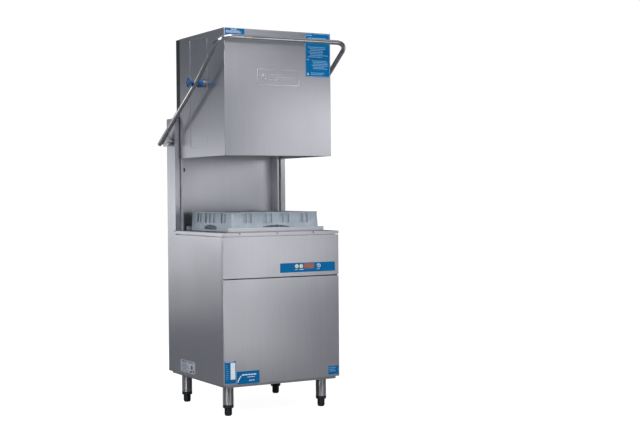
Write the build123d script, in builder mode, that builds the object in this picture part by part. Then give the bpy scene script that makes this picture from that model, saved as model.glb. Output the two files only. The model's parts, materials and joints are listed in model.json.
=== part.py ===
from build123d import *

import os
from math import cos, radians, sin, tan

# Pass-through dishwasher with a lifting hood, hood up. Millimetres, +Z up, front towards -Y.
# The origin is on the floor, midway between the handle bar in front and the pipe fittings behind.

os.makedirs("parts", exist_ok=True)

# ---------------------------------------------------------------- driving dimensions
overall_depth = 778
handle_reach = 64
sheet = 1.5

cab_width = 656
cab_depth = 684
cab_bottom = 160
cab_top = 892
rim_top = 908
rim_gap = 4
seam_z = 681
seam_gap = 5
pan_depth = 14
edge_radius = 4

frame_bottom = 148
frame_top = 178
frame_inset = 15
leg_x = 265
leg_radius = 27
leg_bottom = 55

col_depth = 109
col_inner = 280
col_top = 1500
slot_x = (289, 302.5)

hood_width = 600
hood_height = 625
hood_travel = 400
hood_bottom = 1289
hood_setback = 20
hood_depth = 545

rack_size = 500
rack_bottom = 910
rack_height = 97

arm_slope = 31.07
tube_radius = 12
tube_wall = 1.5
handle_x = 359
pivot_z = 1378
pivot_offset = 44
shaft_radius = 9
roller_neck = 8
running = 0.05

# ---------------------------------------------------------------- places worked out from them
front_edge = -overall_depth / 2
cab_front = front_edge + handle_reach
cab_back = cab_front + cab_depth
cab_x = cab_width / 2
col_front = cab_back - col_depth
wall_front = cab_back - 33.5
hood_x = hood_width / 2
hood_front = cab_front + hood_setback
hood_rear = hood_front + hood_depth
hood_top = hood_bottom + hood_height
rack_y = cab_front + 60 + rack_size / 2
pivot_y = cab_back - 80
leg_ys = (cab_front + 85, cab_back - 94)
duct_y = wall_front + 16.5
standpipe_at = (-215, 190)
pump_at = (190, 262)
gland_at = (235, 330)
inlet_at = (150, 300)
drain_at = (-215, 590)


# ---------------------------------------------------------------- shapes used many times
def block(x, y, z, mode=Mode.ADD):
    """A box between x, y and z limits, given in any order."""
    with Locations(((x[0] + x[1]) / 2, (y[0] + y[1]) / 2, (z[0] + z[1]) / 2)):
        Box(abs(x[1] - x[0]), abs(y[1] - y[0]), abs(z[1] - z[0]), mode=mode)


def rod(axis, at, span, radius, mode=Mode.ADD):
    """A cylinder along X, Y or Z. at holds its two other coordinates, in X, Y, Z order."""
    middle = (span[0] + span[1]) / 2
    length = abs(span[1] - span[0])
    centre = {"x": (middle, *at), "y": (at[0], middle, at[1]), "z": (*at, middle)}[axis]
    turn = {"x": (0, 90, 0), "y": (90, 0, 0), "z": (0, 0, 0)}[axis]
    with Locations(centre):
        Cylinder(radius, length, rotation=turn, mode=mode)


def pipe(points, bends, radius, wall=0):
    """A tube along straight runs with rounded bends, solid where wall is 0."""
    with BuildLine() as route:
        FilletPolyline(*points, radius=bends)
    start = Plane(origin=route.line @ 0, z_dir=route.line % 0)
    with BuildSketch(start) as ring:
        Circle(radius)
        if wall:
            Circle(radius - wall, mode=Mode.SUBTRACT)
    sweep(sections=ring.sketch, path=route.line)


def mirrored(side, *xs):
    """X limits on the left (side -1) or on the right (side +1)."""
    return tuple(side * x for x in xs)


def save(piece, name):
    """Labels a finished piece and writes it to its own file."""
    piece.part.label = name
    export_step(piece.part, f"parts/{name}.step")


# ---------------------------------------------------------------- base frame, legs and feet
frame_x = cab_x - frame_inset
frame_ys = (cab_front + frame_inset, cab_back - frame_inset)
rail_width = 30
cross_rails = (-60, 100, 210)
inner_x = frame_x - rail_width
inner_ys = (frame_ys[0] + rail_width, frame_ys[1] - rail_width)
gusset = 81

with BuildPart() as base_frame:
    block((-frame_x, frame_x), frame_ys, (frame_bottom, frame_top))
    block((-inner_x, inner_x), inner_ys, (frame_bottom, frame_top), Mode.SUBTRACT)
    for rail_y in cross_rails:
        rail = (rail_y - rail_width / 2, rail_y + rail_width / 2)
        block((-inner_x - 2, inner_x + 2), rail, (frame_bottom, frame_top))
    under = (frame_bottom, frame_top - 2)
    for side in (-1, 1):
        block(mirrored(side, inner_x + 2, frame_x - 2), (frame_ys[0] + 2, frame_ys[1] - 2), under,
              Mode.SUBTRACT)
    for rail_y in (inner_ys[0] - rail_width, inner_ys[1], *(y - rail_width / 2 for y in cross_rails)):
        block((-frame_x + 2, frame_x - 2), (rail_y + 2, rail_y + rail_width - 2), under, Mode.SUBTRACT)
    for side in (-1, 1):
        plate_x = mirrored(side, frame_x - gusset, frame_x)
        block(plate_x, (frame_ys[0], leg_ys[0] + 40), (frame_bottom, frame_bottom + 3))
        block(plate_x, (leg_ys[1] - 40, frame_ys[1]), (frame_bottom, frame_bottom + 3))
save(base_frame, "base_frame")

with BuildPart() as legs:
    for x in (-leg_x, leg_x):
        for y in leg_ys:
            rod("z", (x, y), (leg_bottom, frame_bottom - 3), leg_radius)
            rod("z", (x, y), (frame_bottom - 3, frame_bottom), leg_radius + 14)
            rod("z", (x, y), (leg_bottom, frame_bottom - 3), leg_radius - 2, Mode.SUBTRACT)
save(legs, "legs")

collar_bottom = 47
stem_radius = 8

with BuildPart() as leg_collars:
    for x in (-leg_x, leg_x):
        for y in leg_ys:
            with BuildSketch(Plane.XZ.offset(-y)):
                with BuildLine():
                    Polyline((x + stem_radius + running, collar_bottom), (x + 20, collar_bottom),
                             (x + leg_radius, leg_bottom - 3), (x + leg_radius, leg_bottom),
                             (x + leg_radius - 2.05, leg_bottom), (x + leg_radius - 2.05, 78),
                             (x + stem_radius + running, 78), close=True)
                make_face()
            revolve(axis=Axis((x, y, 0), (0, 0, 1)))
save(leg_collars, "leg_collars")

foot_radius = 18
foot_places = {
    "foot_front_left": (-leg_x, leg_ys[0]),
    "foot_front_right": (leg_x, leg_ys[0]),
    "foot_rear_left": (-leg_x, leg_ys[1]),
    "foot_rear_right": (leg_x, leg_ys[1]),
}
for name, (x, y) in foot_places.items():
    with BuildPart() as foot:
        with BuildSketch(Plane.XZ.offset(-y)):
            with BuildLine():
                Polyline((x, 0), (x + foot_radius - 4, 0), (x + foot_radius, 5),
                         (x + foot_radius, collar_bottom - 4), (x + foot_radius - 3, collar_bottom - 1),
                         (x + stem_radius, collar_bottom - 1), (x + stem_radius, 118), (x, 118), close=True)
            make_face()
        revolve(axis=Axis((x, y, 0), (0, 0, 1)))
    save(foot, name)

# ---------------------------------------------------------------- side panels and rear columns
hem = 12
panel_top = cab_top - rim_gap


def side_panel(side):
    """Folded sheet: the outer face, narrow returns, and an upstand that carries the deck."""
    ys = (cab_front + pan_depth + 2, col_front - 0.5)
    with BuildPart() as panel:
        block(mirrored(side, cab_x - sheet, cab_x), ys, (cab_bottom, panel_top))
        block(mirrored(side, cab_x - hem, cab_x - sheet), ys, (cab_bottom, cab_bottom + sheet))
        block(mirrored(side, 311, cab_x - sheet), ys, (panel_top - sheet, panel_top))
        block(mirrored(side, 311, 311 + sheet), ys, (panel_top, rim_top - sheet))
    return panel


save(side_panel(-1), "left_side_panel")
save(side_panel(1), "right_side_panel")

spring_x = 304
spring_y = cab_back - 37
shelf_z = 900


def column(side):
    """A tall channel: outer face, slotted front, inner face, rear returns, cap and spring shelf."""
    ys = (col_front, cab_back - sheet)
    with BuildPart() as post:
        block(mirrored(side, col_inner, cab_x), ys, (cab_bottom, col_top))
        block(mirrored(side, col_inner + sheet, cab_x - sheet), (ys[0] + sheet, ys[1] - sheet),
              (cab_bottom, col_top - sheet), Mode.SUBTRACT)
        block(mirrored(side, 292, 316), (ys[1] - sheet, ys[1]), (cab_bottom, col_top - sheet), Mode.SUBTRACT)
        block(mirrored(side, col_inner, frame_x + 0.5), ys, (cab_bottom, frame_top + 0.5), Mode.SUBTRACT)
        block(mirrored(side, *slot_x), (ys[0], ys[0] + sheet), (cab_top - 12, col_top), Mode.SUBTRACT)
        block(mirrored(side, col_inner + sheet, 310.5), (ys[0], ys[0] + 37), (col_top - sheet, col_top),
              Mode.SUBTRACT)
        rod("x", (pivot_y, pivot_z), mirrored(side, 320, 330), 16 + running, Mode.SUBTRACT)
        block(mirrored(side, col_inner + sheet, 316), (spring_y - 14, spring_y + 14), (shelf_z, shelf_z + 4))
    return post


save(column(-1), "left_column")
save(column(1), "right_column")

carrier_x = (291, 293.5)
strip_x = (carrier_x[1], hood_x + 1)
strip_rear = hood_rear + 44

with BuildPart() as column_liners:
    for side in (-1, 1):
        liner_z = (cab_top - 10, col_top - 2)
        block(mirrored(side, carrier_x[0] - 3, strip_x[1] + 4), (col_front + sheet, strip_rear + 6), liner_z)
        block(mirrored(side, carrier_x[0] - 0.4, strip_x[1] + 0.4), (col_front, strip_rear + 3), liner_z,
              Mode.SUBTRACT)
save(column_liners, "column_liners")

riser_x = 30
manifold_z = {"lower": 812, "upper": 1460}
manifold_radius = 16

with BuildPart() as chamber_back_wall:
    block((-col_inner + 0.5, col_inner - 0.5), (wall_front, wall_front + sheet), (882, col_top - 1))
    for side in (-1, 1):
        block(mirrored(side, col_inner - 2, col_inner - 0.5), (wall_front, cab_back - 12), (882, col_top - 1))
    block((-col_inner + 0.5, col_inner - 0.5), (wall_front, cab_back - 12), (col_top - 1 - sheet, col_top - 1))
    rod("y", (0, manifold_z["upper"]), (wall_front - 1, wall_front + 3), manifold_radius + 0.1, Mode.SUBTRACT)
save(chamber_back_wall, "chamber_back_wall")

with BuildPart() as rear_cover:
    block((-cab_x + 1, cab_x - 1), (cab_back - sheet, cab_back), (893, col_top - 1))
    with BuildSketch(Plane.XZ.offset(-cab_back)):
        with GridLocations(90, 14, 3, 8):
            with Locations((0, 1180)):
                SlotOverall(70, 5)
    extrude(amount=sheet, mode=Mode.SUBTRACT)
save(rear_cover, "rear_cover")

with BuildPart() as rear_lower_panel:
    block((-cab_x + 1, cab_x - 1), (cab_back - sheet, cab_back), (161, 891))
    block((-col_inner + 2, col_inner - 2), (cab_back - hem, cab_back - sheet), (161, 161 + sheet))
    rod("y", gland_at, (cab_back - 3, cab_back + 1), 16.1, Mode.SUBTRACT)
    rod("y", inlet_at, (cab_back - 3, cab_back + 1), 13.3, Mode.SUBTRACT)
    rod("y", drain_at, (cab_back - 3, cab_back + 1), 18.1, Mode.SUBTRACT)
save(rear_lower_panel, "rear_lower_panel")

# ---------------------------------------------------------------- front: fascia, service panel, controls
strip_field = ((-12, 305), (703, 750))
display_field = ((125, 181), (720, 746))
button_z = 733
button_radius = 10
power_radius = 12.5
button_x = {"button_program": 82, "button_start": 108, "button_power": 210}
button_radii = {"button_program": button_radius, "button_start": button_radius, "button_power": power_radius}


def control_holes(depth):
    """Cuts the button holes and the display opening through a panel between two Y stations."""
    for name, x in button_x.items():
        rod("y", (x, button_z), depth, button_radii[name] + 0.4, Mode.SUBTRACT)
    block((display_field[0][0] - 0.5, display_field[0][1] + 0.5), depth,
          (display_field[1][0] - 0.5, display_field[1][1] + 0.5), Mode.SUBTRACT)


def front_panel(z):
    """A shallow folded pan: front face, side, top and bottom returns, with rounded upright edges."""
    with BuildPart() as panel:
        block((-cab_x, cab_x), (cab_front, cab_front + pan_depth), z)
        fillet(panel.edges().filter_by(Axis.Z).group_by(Axis.Y)[0], edge_radius)
        block((-cab_x + sheet, cab_x - sheet), (cab_front + sheet, cab_front + pan_depth + 1),
              (z[0] + sheet, z[1] - sheet), Mode.SUBTRACT)
    return panel


with BuildPart() as front_fascia:
    add(front_panel((seam_z + seam_gap / 2, panel_top)).part)
    block((-cab_x + 20, cab_x - 20), (cab_front + pan_depth - sheet, cab_front + pan_depth),
          (panel_top - sheet, rim_top - sheet))
    control_holes((cab_front - 1, cab_front + 3))
save(front_fascia, "front_fascia")

save(front_panel((cab_bottom + 2, seam_z - seam_gap / 2)), "front_service_panel")

with BuildPart() as control_overlay:
    with BuildSketch(Plane.XZ.offset(-cab_front)):
        with Locations((sum(strip_field[0]) / 2, sum(strip_field[1]) / 2)):
            RectangleRounded(strip_field[0][1] - strip_field[0][0], strip_field[1][1] - strip_field[1][0], 3)
    extrude(amount=0.8)
    control_holes((cab_front - 2, cab_front + 1))
save(control_overlay, "control_overlay")

board_x = (40, 250)
board_front = cab_front + 14

with BuildPart() as display_board:
    block(board_x, (board_front, board_front + 4), (708, 750))
    block(display_field[0], (cab_front - 0.6, board_front), display_field[1])
    for x in (board_x[0] + 6, board_x[1] - 6):
        for z in (713, 745):
            rod("y", (x, z), (cab_front + sheet, board_front), 3)
save(display_board, "display_board")

for name, x in button_x.items():
    with BuildPart() as button:
        rod("y", (x, button_z), (cab_front - 2.6, cab_front + 10), button_radii[name])
        fillet(button.edges().sort_by(Axis.Y)[0], 1)
        rod("y", (x, button_z), (cab_front + 2.2, cab_front + 4.2), button_radii[name] + 2)
    save(button, name)

# ---------------------------------------------------------------- deck, tank, rails, strainers
rim_width = 18
pan_x = cab_x - rim_width
pan_front = cab_front + rim_width
gutter_z = cab_top - 12
tank_x = 270
tank_ys = (rack_y - 258, rack_y + 258)
open_above = rim_top + 1

with BuildPart() as tank_deck:
    block((-cab_x, cab_x), (cab_front, col_front), (cab_top, rim_top))
    block((-cab_x + sheet, cab_x - sheet), (cab_front + sheet, col_front), (cab_top, rim_top - sheet),
          Mode.SUBTRACT)
    block((-pan_x, pan_x), (pan_front, col_front), (cab_top, rim_top), Mode.SUBTRACT)
    block((-pan_x, pan_x), (pan_front, col_front - 1), (gutter_z, rim_top))
    block((-pan_x + sheet, pan_x - sheet), (pan_front + sheet, col_front - 1 - sheet),
          (gutter_z + sheet, open_above), Mode.SUBTRACT)
    block((-col_inner + 0.5, col_inner - 0.5), (col_front - 3, wall_front), (gutter_z, rim_top))
    block((-col_inner + 2, col_inner - 2), (col_front - 4, wall_front - sheet), (gutter_z + sheet, open_above),
          Mode.SUBTRACT)
    for side in (-1, 1):
        block(mirrored(side, slot_x[0] - 1, slot_x[1] + 0.5), (col_front - 4, col_front), (gutter_z + 3, open_above),
              Mode.SUBTRACT)
    block((-tank_x - sheet, tank_x + sheet), (tank_ys[0] - sheet, tank_ys[1] + sheet), (gutter_z, rim_top))
    block((-tank_x, tank_x), tank_ys, (gutter_z - 1, open_above), Mode.SUBTRACT)
save(tank_deck, "tank_deck")

tank_floor = 690
pit_x = 110
pit_ys = (rack_y - 110, rack_y + 110)
pit_floor = 580
suction_y = rack_y - 45
suction_z = 612
suction_radius = 24
heater_z = 722
heater_ys = (-180, -140)

with BuildPart() as wash_tank:
    block((-tank_x - 15, tank_x + 15), (tank_ys[0] - 15, tank_ys[1] + 6), (gutter_z - sheet, gutter_z))
    block((-tank_x + 1.5, tank_x - 1.5), (tank_ys[0] + 1.5, tank_ys[1] - 1.5), (tank_floor, gutter_z))
    block((-tank_x + 3, tank_x - 3), (tank_ys[0] + 3, tank_ys[1] - 3), (tank_floor + sheet, gutter_z + 1),
          Mode.SUBTRACT)
    block((-pit_x, pit_x), pit_ys, (pit_floor, tank_floor + sheet))
    block((-pit_x + sheet, pit_x - sheet), (pit_ys[0] + sheet, pit_ys[1] - sheet),
          (pit_floor + sheet, tank_floor + 2), Mode.SUBTRACT)
    for x in (-tank_x + 3, tank_x - 11):
        for y in (tank_ys[0] + 60, tank_ys[1] - 100):
            block((x, x + 8), (y, y + 40), (763, 765))
    rod("x", (suction_y, suction_z), (pit_x - 1, pit_x + 30), suction_radius)
    rod("x", (suction_y, suction_z), (pit_x - 2, pit_x + 30), suction_radius - 2, Mode.SUBTRACT)
    rod("z", standpipe_at, (650, tank_floor + sheet), 20)
    rod("z", standpipe_at, (649, tank_floor + 3), 17.6, Mode.SUBTRACT)
    rod("y", (0, manifold_z["lower"]), (tank_ys[1] - 6, tank_ys[1]), manifold_radius + 0.1, Mode.SUBTRACT)
    for y in heater_ys:
        rod("x", (y, heater_z), (tank_x - 6, tank_x), 5.2, Mode.SUBTRACT)
save(wash_tank, "wash_tank")

rail_x = 271
rail_gap = 3

with BuildPart() as rack_rails:
    for side in (-1, 1):
        leg = rack_y + side * (rack_size / 2 + rail_gap)
        block((-rail_x, rail_x), (leg, leg + side * 2), (rim_top, rim_top + 23))
        block((-rail_x, rail_x), (leg + side * 2, leg - side * 30), (rim_top, rim_top + 2))
save(rack_rails, "rack_rails")

strainer_z = 765

with BuildPart() as tank_strainer:
    block((-tank_x + 5, tank_x - 5), (tank_ys[0] + 5, tank_ys[1] - 5), (strainer_z, strainer_z + 2))
    rod("z", (0, rack_y), (strainer_z - 1, strainer_z + 3), 61, Mode.SUBTRACT)
    rod("z", standpipe_at, (strainer_z - 1, strainer_z + 3), 19, Mode.SUBTRACT)
    for side in (-1, 1):
        with BuildSketch(Plane.XY.offset(strainer_z)):
            with Locations((side * 160, rack_y - 40)):
                with GridLocations(36, 20, 5, 15):
                    SlotOverall(26, 6)
        extrude(amount=2, mode=Mode.SUBTRACT)
save(tank_strainer, "tank_strainer")

with BuildPart() as sump_filter:
    rod("z", (0, rack_y), (640, strainer_z + 2), 60)
    rod("z", (0, rack_y), (strainer_z + 2, strainer_z + 4), 68)
    rod("z", (0, rack_y), (642, strainer_z + 5), 58, Mode.SUBTRACT)
    with Locations((0, rack_y, 700)):
        with PolarLocations(59, 24):
            Box(6, 6, 80, mode=Mode.SUBTRACT)
save(sump_filter, "sump_filter")

with BuildPart() as standpipe:
    rod("z", standpipe_at, (660, 835), 17)
    rod("z", standpipe_at, (664, 835), 15, Mode.SUBTRACT)
    rod("z", standpipe_at, (tank_floor + sheet, tank_floor + 6), 24)
    rod("z", standpipe_at, (664, 835), 15, Mode.SUBTRACT)
    block((standpipe_at[0] - 17, standpipe_at[0] + 17), (standpipe_at[1] - 2, standpipe_at[1] + 2), (831, 835))
save(standpipe, "standpipe")

# ---------------------------------------------------------------- wash pump, hoses and water paths
pump_x, pump_z = pump_at
volute_ys = (10, 70)
motor_ys = (74, 250)

with BuildPart() as pump_housing:
    rod("y", pump_at, volute_ys, 72)
    fillet(pump_housing.edges().filter_by(GeomType.CIRCLE), 12)
    rod("y", pump_at, (-20, volute_ys[0] + 5), suction_radius)
    rod("z", (pump_x + 48, 40), (pump_z, 350), 20)
    rod("y", pump_at, (volute_ys[0] + 4, volute_ys[1] - 6), 62, Mode.SUBTRACT)
    rod("y", pump_at, (-21, volute_ys[0] + 6), suction_radius - 3, Mode.SUBTRACT)
    rod("z", (pump_x + 48, 40), (pump_z, 351), 17, Mode.SUBTRACT)
    rod("y", pump_at, (volute_ys[1] - 8, volute_ys[1] + 1), 10, Mode.SUBTRACT)
save(pump_housing, "pump_housing")

with BuildPart() as pump_impeller:
    rod("y", pump_at, (28, 32), 55)
    rod("y", pump_at, (24, motor_ys[0] + 40), 8)
    for blade in range(6):
        with BuildSketch(Plane.XZ.offset(-44)):
            with Locations(Location((pump_x, pump_z, 0), (0, 0, 60 * blade))):
                with Locations((31, 4)):
                    Rectangle(44, 4)
        extrude(amount=12)
save(pump_impeller, "pump_impeller")

with BuildPart() as wash_motor:
    rod("y", pump_at, motor_ys, 60)
    fillet(wash_motor.edges().filter_by(GeomType.CIRCLE).sort_by(Axis.Y)[-1], 10)
    rod("y", pump_at, (volute_ys[1], motor_ys[0]), 68)
    rod("y", pump_at, (volute_ys[1] - 1, motor_ys[0] + 46), 8 + running, Mode.SUBTRACT)
    block((pump_x - 35, pump_x + 35), (120, 200), (pump_z + 50, pump_z + 84))
    for foot_y in (100, 210):
        block((pump_x - 45, pump_x + 45), (foot_y - 12, foot_y + 12), (frame_top, pump_z - 50))
save(wash_motor, "wash_motor")

with BuildPart() as suction_hose:
    pipe([(pit_x + 30, suction_y, suction_z), (pump_x, suction_y, suction_z), (pump_x, suction_y, pump_z),
          (pump_x, -20, pump_z)], (38, 34), suction_radius, 4)
save(suction_hose, "suction_hose")

with BuildPart() as wash_riser:
    pipe([(pump_x + 48, 40, 350), (pump_x + 48, 40, 640), (pump_x + 48, duct_y - 7, 640),
          (riser_x, duct_y - 7, 640)], (50, 50), 20)
    block((-riser_x, riser_x), (duct_y - 13, duct_y + 13), (612, 1480))
    block((-riser_x + 2, riser_x - 2), (duct_y - 11, duct_y + 11), (614, 1478), Mode.SUBTRACT)
    for level in manifold_z.values():
        rod("y", (0, level), (duct_y - 14, duct_y), manifold_radius - 2, Mode.SUBTRACT)
save(wash_riser, "wash_riser")

arm_radius = 8
hub_end = {"lower": (790, 846), "upper": (1440, 1478)}
spindle_end = {"lower": (846, 903), "upper": (1383, 1440)}
nut_end = {"lower": (897, 903), "upper": (1383, 1389)}


def manifold(level):
    """Feed pipe from the riser duct to a hub over the rack's centre, with the arms' spindle."""
    with BuildPart() as feed:
        rod("y", (0, manifold_z[level]), (rack_y, duct_y - 13), manifold_radius)
        rod("z", (0, rack_y), hub_end[level], 24)
        rod("y", (0, manifold_z[level]), (rack_y, duct_y - 12), manifold_radius - 2, Mode.SUBTRACT)
        rod("z", (0, rack_y), spindle_end[level], arm_radius)
        rod("z", (0, rack_y), nut_end[level], 14)
        if level == "upper":
            rod("y", (0, manifold_z[level]), (wall_front - 6, wall_front), 30)
            rod("y", (0, manifold_z[level]), (wall_front - 7, wall_front + 1), manifold_radius - 2, Mode.SUBTRACT)
    return feed


save(manifold("lower"), "lower_manifold")
save(manifold("upper"), "upper_manifold")


def wash_arm(hub, tube):
    """Flat tube arm with a round hub and jet slots, on a vertical axis over the rack's centre."""
    reach = 236
    with BuildPart() as arm:
        block((-reach, reach), (rack_y - 18, rack_y + 18), tube)
        block((-reach + sheet, reach - sheet), (rack_y - 16.5, rack_y + 16.5), (tube[0] + sheet, tube[1] - sheet),
              Mode.SUBTRACT)
        rod("z", (0, rack_y), hub, 22)
        rod("z", (0, rack_y), (hub[0] - 1, hub[1] + 1), arm_radius + running, Mode.SUBTRACT)
        with BuildSketch(Plane.XY.offset(tube[0])):
            for side in (-1, 1):
                with Locations((side * 130, rack_y)):
                    with GridLocations(36, 0, 6, 1):
                        SlotOverall(22, 4, rotation=90)
        extrude(amount=tube[1] - tube[0], mode=Mode.SUBTRACT)
    return arm


def rinse_arm(hub, centre_z):
    """Thin round arm set across the wash arm."""
    turn = radians(62)
    reach = 210
    with BuildPart() as arm:
        rod("z", (0, rack_y), hub, 15)
        with BuildSketch(Plane(origin=(-reach * cos(turn), rack_y - reach * sin(turn), centre_z),
                               z_dir=(cos(turn), sin(turn), 0))):
            Circle(6.5)
        extrude(amount=2 * reach)
        rod("z", (0, rack_y), (hub[0] - 1, hub[1] + 1), arm_radius + running, Mode.SUBTRACT)
    return arm


save(wash_arm((847, 873), (851, 869)), "lower_wash_arm")
save(wash_arm((1413, 1439), (1417, 1435)), "upper_wash_arm")
save(rinse_arm((876, 895), 885.5), "lower_rinse_arm")
save(rinse_arm((1391, 1410), 1400.5), "upper_rinse_arm")

booster_at = (-170, -60)
booster_zs = (196, 536)

with BuildPart() as booster_tank:
    rod("z", booster_at, booster_zs, 88)
    fillet(booster_tank.edges().filter_by(GeomType.CIRCLE), 24)
    rod("z", booster_at, (frame_top, booster_zs[0] + 10), 70)
    rod("z", booster_at, (booster_zs[0] + 12, booster_zs[1] - 12), 84, Mode.SUBTRACT)
    rod("z", booster_at, (frame_top - 1, booster_zs[0]), 66, Mode.SUBTRACT)
save(booster_tank, "booster_tank")

with BuildPart() as heating_elements:
    pipe([(tank_x + 6, heater_ys[0], heater_z), (-190, heater_ys[0], heater_z), (-190, heater_ys[1], heater_z),
          (tank_x + 6, heater_ys[1], heater_z)], (18, 18), 5)
    block((tank_x - 1.5, tank_x + 6), (heater_ys[0] - 22, heater_ys[1] + 22), (heater_z - 20, heater_z + 20))
    block((tank_x + 6, tank_x + 34), (heater_ys[0] - 14, heater_ys[1] + 14), (heater_z - 14, heater_z + 14))
    for x in (-210, -130):
        pipe([(x - 14, -60, 212), (x - 14, -60, 470), (x + 14, -60, 470), (x + 14, -60, 212)], (12, 12), 4.5)
save(heating_elements, "heating_elements")

with BuildPart() as inlet_valve:
    block((inlet_at[0] - 22, inlet_at[0] + 22), (296, cab_back - 12), (inlet_at[1] - 18, inlet_at[1] + 18))
    rod("z", (inlet_at[0], 318), (inlet_at[1] + 18, inlet_at[1] + 64), 19)
    pipe([(inlet_at[0], 297, inlet_at[1]), (inlet_at[0], 272, inlet_at[1]), (60, 272, inlet_at[1]),
          (60, 272, 222), (60, -60, 222), (booster_at[0] + 88, -60, 222)], (12, 20, 20, 24), 6)
save(inlet_valve, "inlet_valve")

rinse_x = -62

with BuildPart() as rinse_pipe:
    pipe([(booster_at[0] + 30, -60, booster_zs[1]), (booster_at[0] + 30, -60, 606),
          (booster_at[0] + 30, duct_y, 606), (rinse_x, duct_y, 606), (rinse_x, duct_y, manifold_z["upper"]),
          (-riser_x, duct_y, manifold_z["upper"])], (20, 24, 20, 14), 7)
    rod("x", (duct_y, manifold_z["lower"] + 28), (rinse_x, -riser_x), 7)
save(rinse_pipe, "rinse_pipe")

with BuildPart() as drain_pump:
    rod("z", standpipe_at, (552, 632), 38)
    fillet(drain_pump.edges().filter_by(GeomType.CIRCLE), 8)
    rod("z", standpipe_at, (630, 650), 20)
    rod("z", standpipe_at, (560, 651), 16, Mode.SUBTRACT)
    rod("y", drain_at, (standpipe_at[1] + 30, cab_back - 8), 14)
    rod("y", drain_at, (standpipe_at[1] + 20, cab_back - 7), 11, Mode.SUBTRACT)
    rod("z", standpipe_at, (500, 552), 26)
save(drain_pump, "drain_pump")

with BuildPart() as control_box:
    block((-70, 240), (-308, -236), (420, 650))
    block((-68.5, 238.5), (-306.5, -237.5), (421.5, 648.5), Mode.SUBTRACT)
    for z in (424, 640):
        block((-90, 260), (-311, -308), (z - 10, z + 14))
save(control_box, "control_box")

# ---------------------------------------------------------------- rear fittings
with BuildPart() as cable_gland:
    rod("y", gland_at, (cab_back - 14, cab_back + 8), 16)
    with BuildSketch(Plane.XZ.offset(-cab_back)):
        with Locations(gland_at):
            RegularPolygon(21, 6)
    extrude(amount=-7)
    with BuildSketch(Plane.XZ.offset(-(cab_back - sheet))):
        with Locations(gland_at):
            RegularPolygon(21, 6)
    extrude(amount=6)
    with BuildSketch(Plane.XZ.offset(-(cab_back + 8))):
        with Locations(gland_at):
            Circle(17)
    extrude(amount=-14, taper=14)
    rod("y", gland_at, (cab_back - 15, cab_back + 23), 9, Mode.SUBTRACT)
save(cable_gland, "cable_gland")

with BuildPart() as water_inlet:
    rod("y", inlet_at, (cab_back - 12, cab_back + 26), 13.2)
    with BuildSketch(Plane.XZ.offset(-cab_back)):
        with Locations(inlet_at):
            RegularPolygon(19, 6)
    extrude(amount=-6)
    rod("y", inlet_at, (cab_back - 13, cab_back + 27), 9, Mode.SUBTRACT)
save(water_inlet, "water_inlet")

with BuildPart() as drain_outlet:
    rod("y", drain_at, (cab_back - 8, overall_depth / 2), 18)
    rod("y", drain_at, (cab_back, cab_back + 4), 26)
    rod("y", drain_at, (cab_back - 9, overall_depth / 2 + 1), 15, Mode.SUBTRACT)
save(drain_outlet, "drain_outlet")

# ---------------------------------------------------------------- hood, guide strips, roller spindles
crease_ys = (cab_front + 222, cab_front + 432)
crease_depth = 1

with BuildPart() as hood_shell:
    block((-hood_x, hood_x), (hood_front, hood_rear), (hood_bottom, hood_top))
    front_edges = hood_shell.edges().filter_by(Axis.Z).group_by(Axis.Y)[0]
    fillet(front_edges + hood_shell.edges().group_by(Axis.Z)[-1].filter_by(Axis.X).sort_by(Axis.Y)[:1], 3)
    block((-hood_x + sheet, hood_x - sheet), (hood_front + sheet, hood_rear + 1),
          (hood_bottom - 1, hood_top - sheet), Mode.SUBTRACT)
    for side in (-1, 1):
        field_z = (hood_bottom + 50, hood_top - 22)
        block(mirrored(side, hood_x - sheet - crease_depth, hood_x - sheet), crease_ys, field_z)
        block(mirrored(side, hood_x - crease_depth, hood_x), crease_ys, field_z, Mode.SUBTRACT)
        block(mirrored(side, hood_x - sheet - 10, hood_x - sheet), (hood_front + sheet, hood_rear - 25),
              (hood_bottom, hood_bottom + sheet))
        block(mirrored(side, carrier_x[0], hood_x - sheet), (hood_rear - 22, hood_rear - 19),
              (hood_bottom, hood_top - sheet))
        block(mirrored(side, *carrier_x), (hood_rear - 22, strip_rear - 4), (hood_bottom, hood_top - sheet))
    block((-hood_x + sheet, hood_x - sheet), (hood_front + sheet, hood_front + 12),
          (hood_bottom, hood_bottom + sheet))
    block((-carrier_x[1], carrier_x[1]), (hood_rear - 22, strip_rear - 4), (hood_top - 2 * sheet, hood_top - sheet))
    block((-carrier_x[1], carrier_x[1]), (strip_rear - 4 - sheet, strip_rear - 4), (hood_top - 12, hood_top - sheet))
save(hood_shell, "hood_shell")

with BuildPart() as hood_guide_strips:
    for side in (-1, 1):
        block(mirrored(side, *strip_x), (hood_rear + 0.5, strip_rear), (hood_bottom + 1, hood_top - 2))
save(hood_guide_strips, "hood_guide_strips")

# The handle's straight lower arm passes above its pivot; the roller's neck lies on top of that arm.
slope = radians(arm_slope)
arm_foot_y = pivot_y + pivot_offset * sin(slope)
arm_foot_z = pivot_z + pivot_offset * cos(slope)
roller_y = cab_front + 262
roller_lift = pivot_offset + tube_radius + roller_neck + 0.4
roller_z = pivot_z + (roller_lift + (pivot_y - roller_y) * sin(slope)) / cos(slope)
roller_at = (roller_y, roller_z)
pin_radius = 6

with BuildPart() as roller_spindles:
    for side in (-1, 1):
        rod("x", roller_at, mirrored(side, hood_x, hood_x + 4), 21)
        rod("x", roller_at, mirrored(side, hood_x + 4, hood_x + 13), 17)
        rod("x", roller_at, mirrored(side, hood_x + 13, hood_x + 86.5), pin_radius)
        rod("x", roller_at, mirrored(side, hood_x + 86.5, hood_x + 90), 12)
save(roller_spindles, "roller_spindles")


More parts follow.
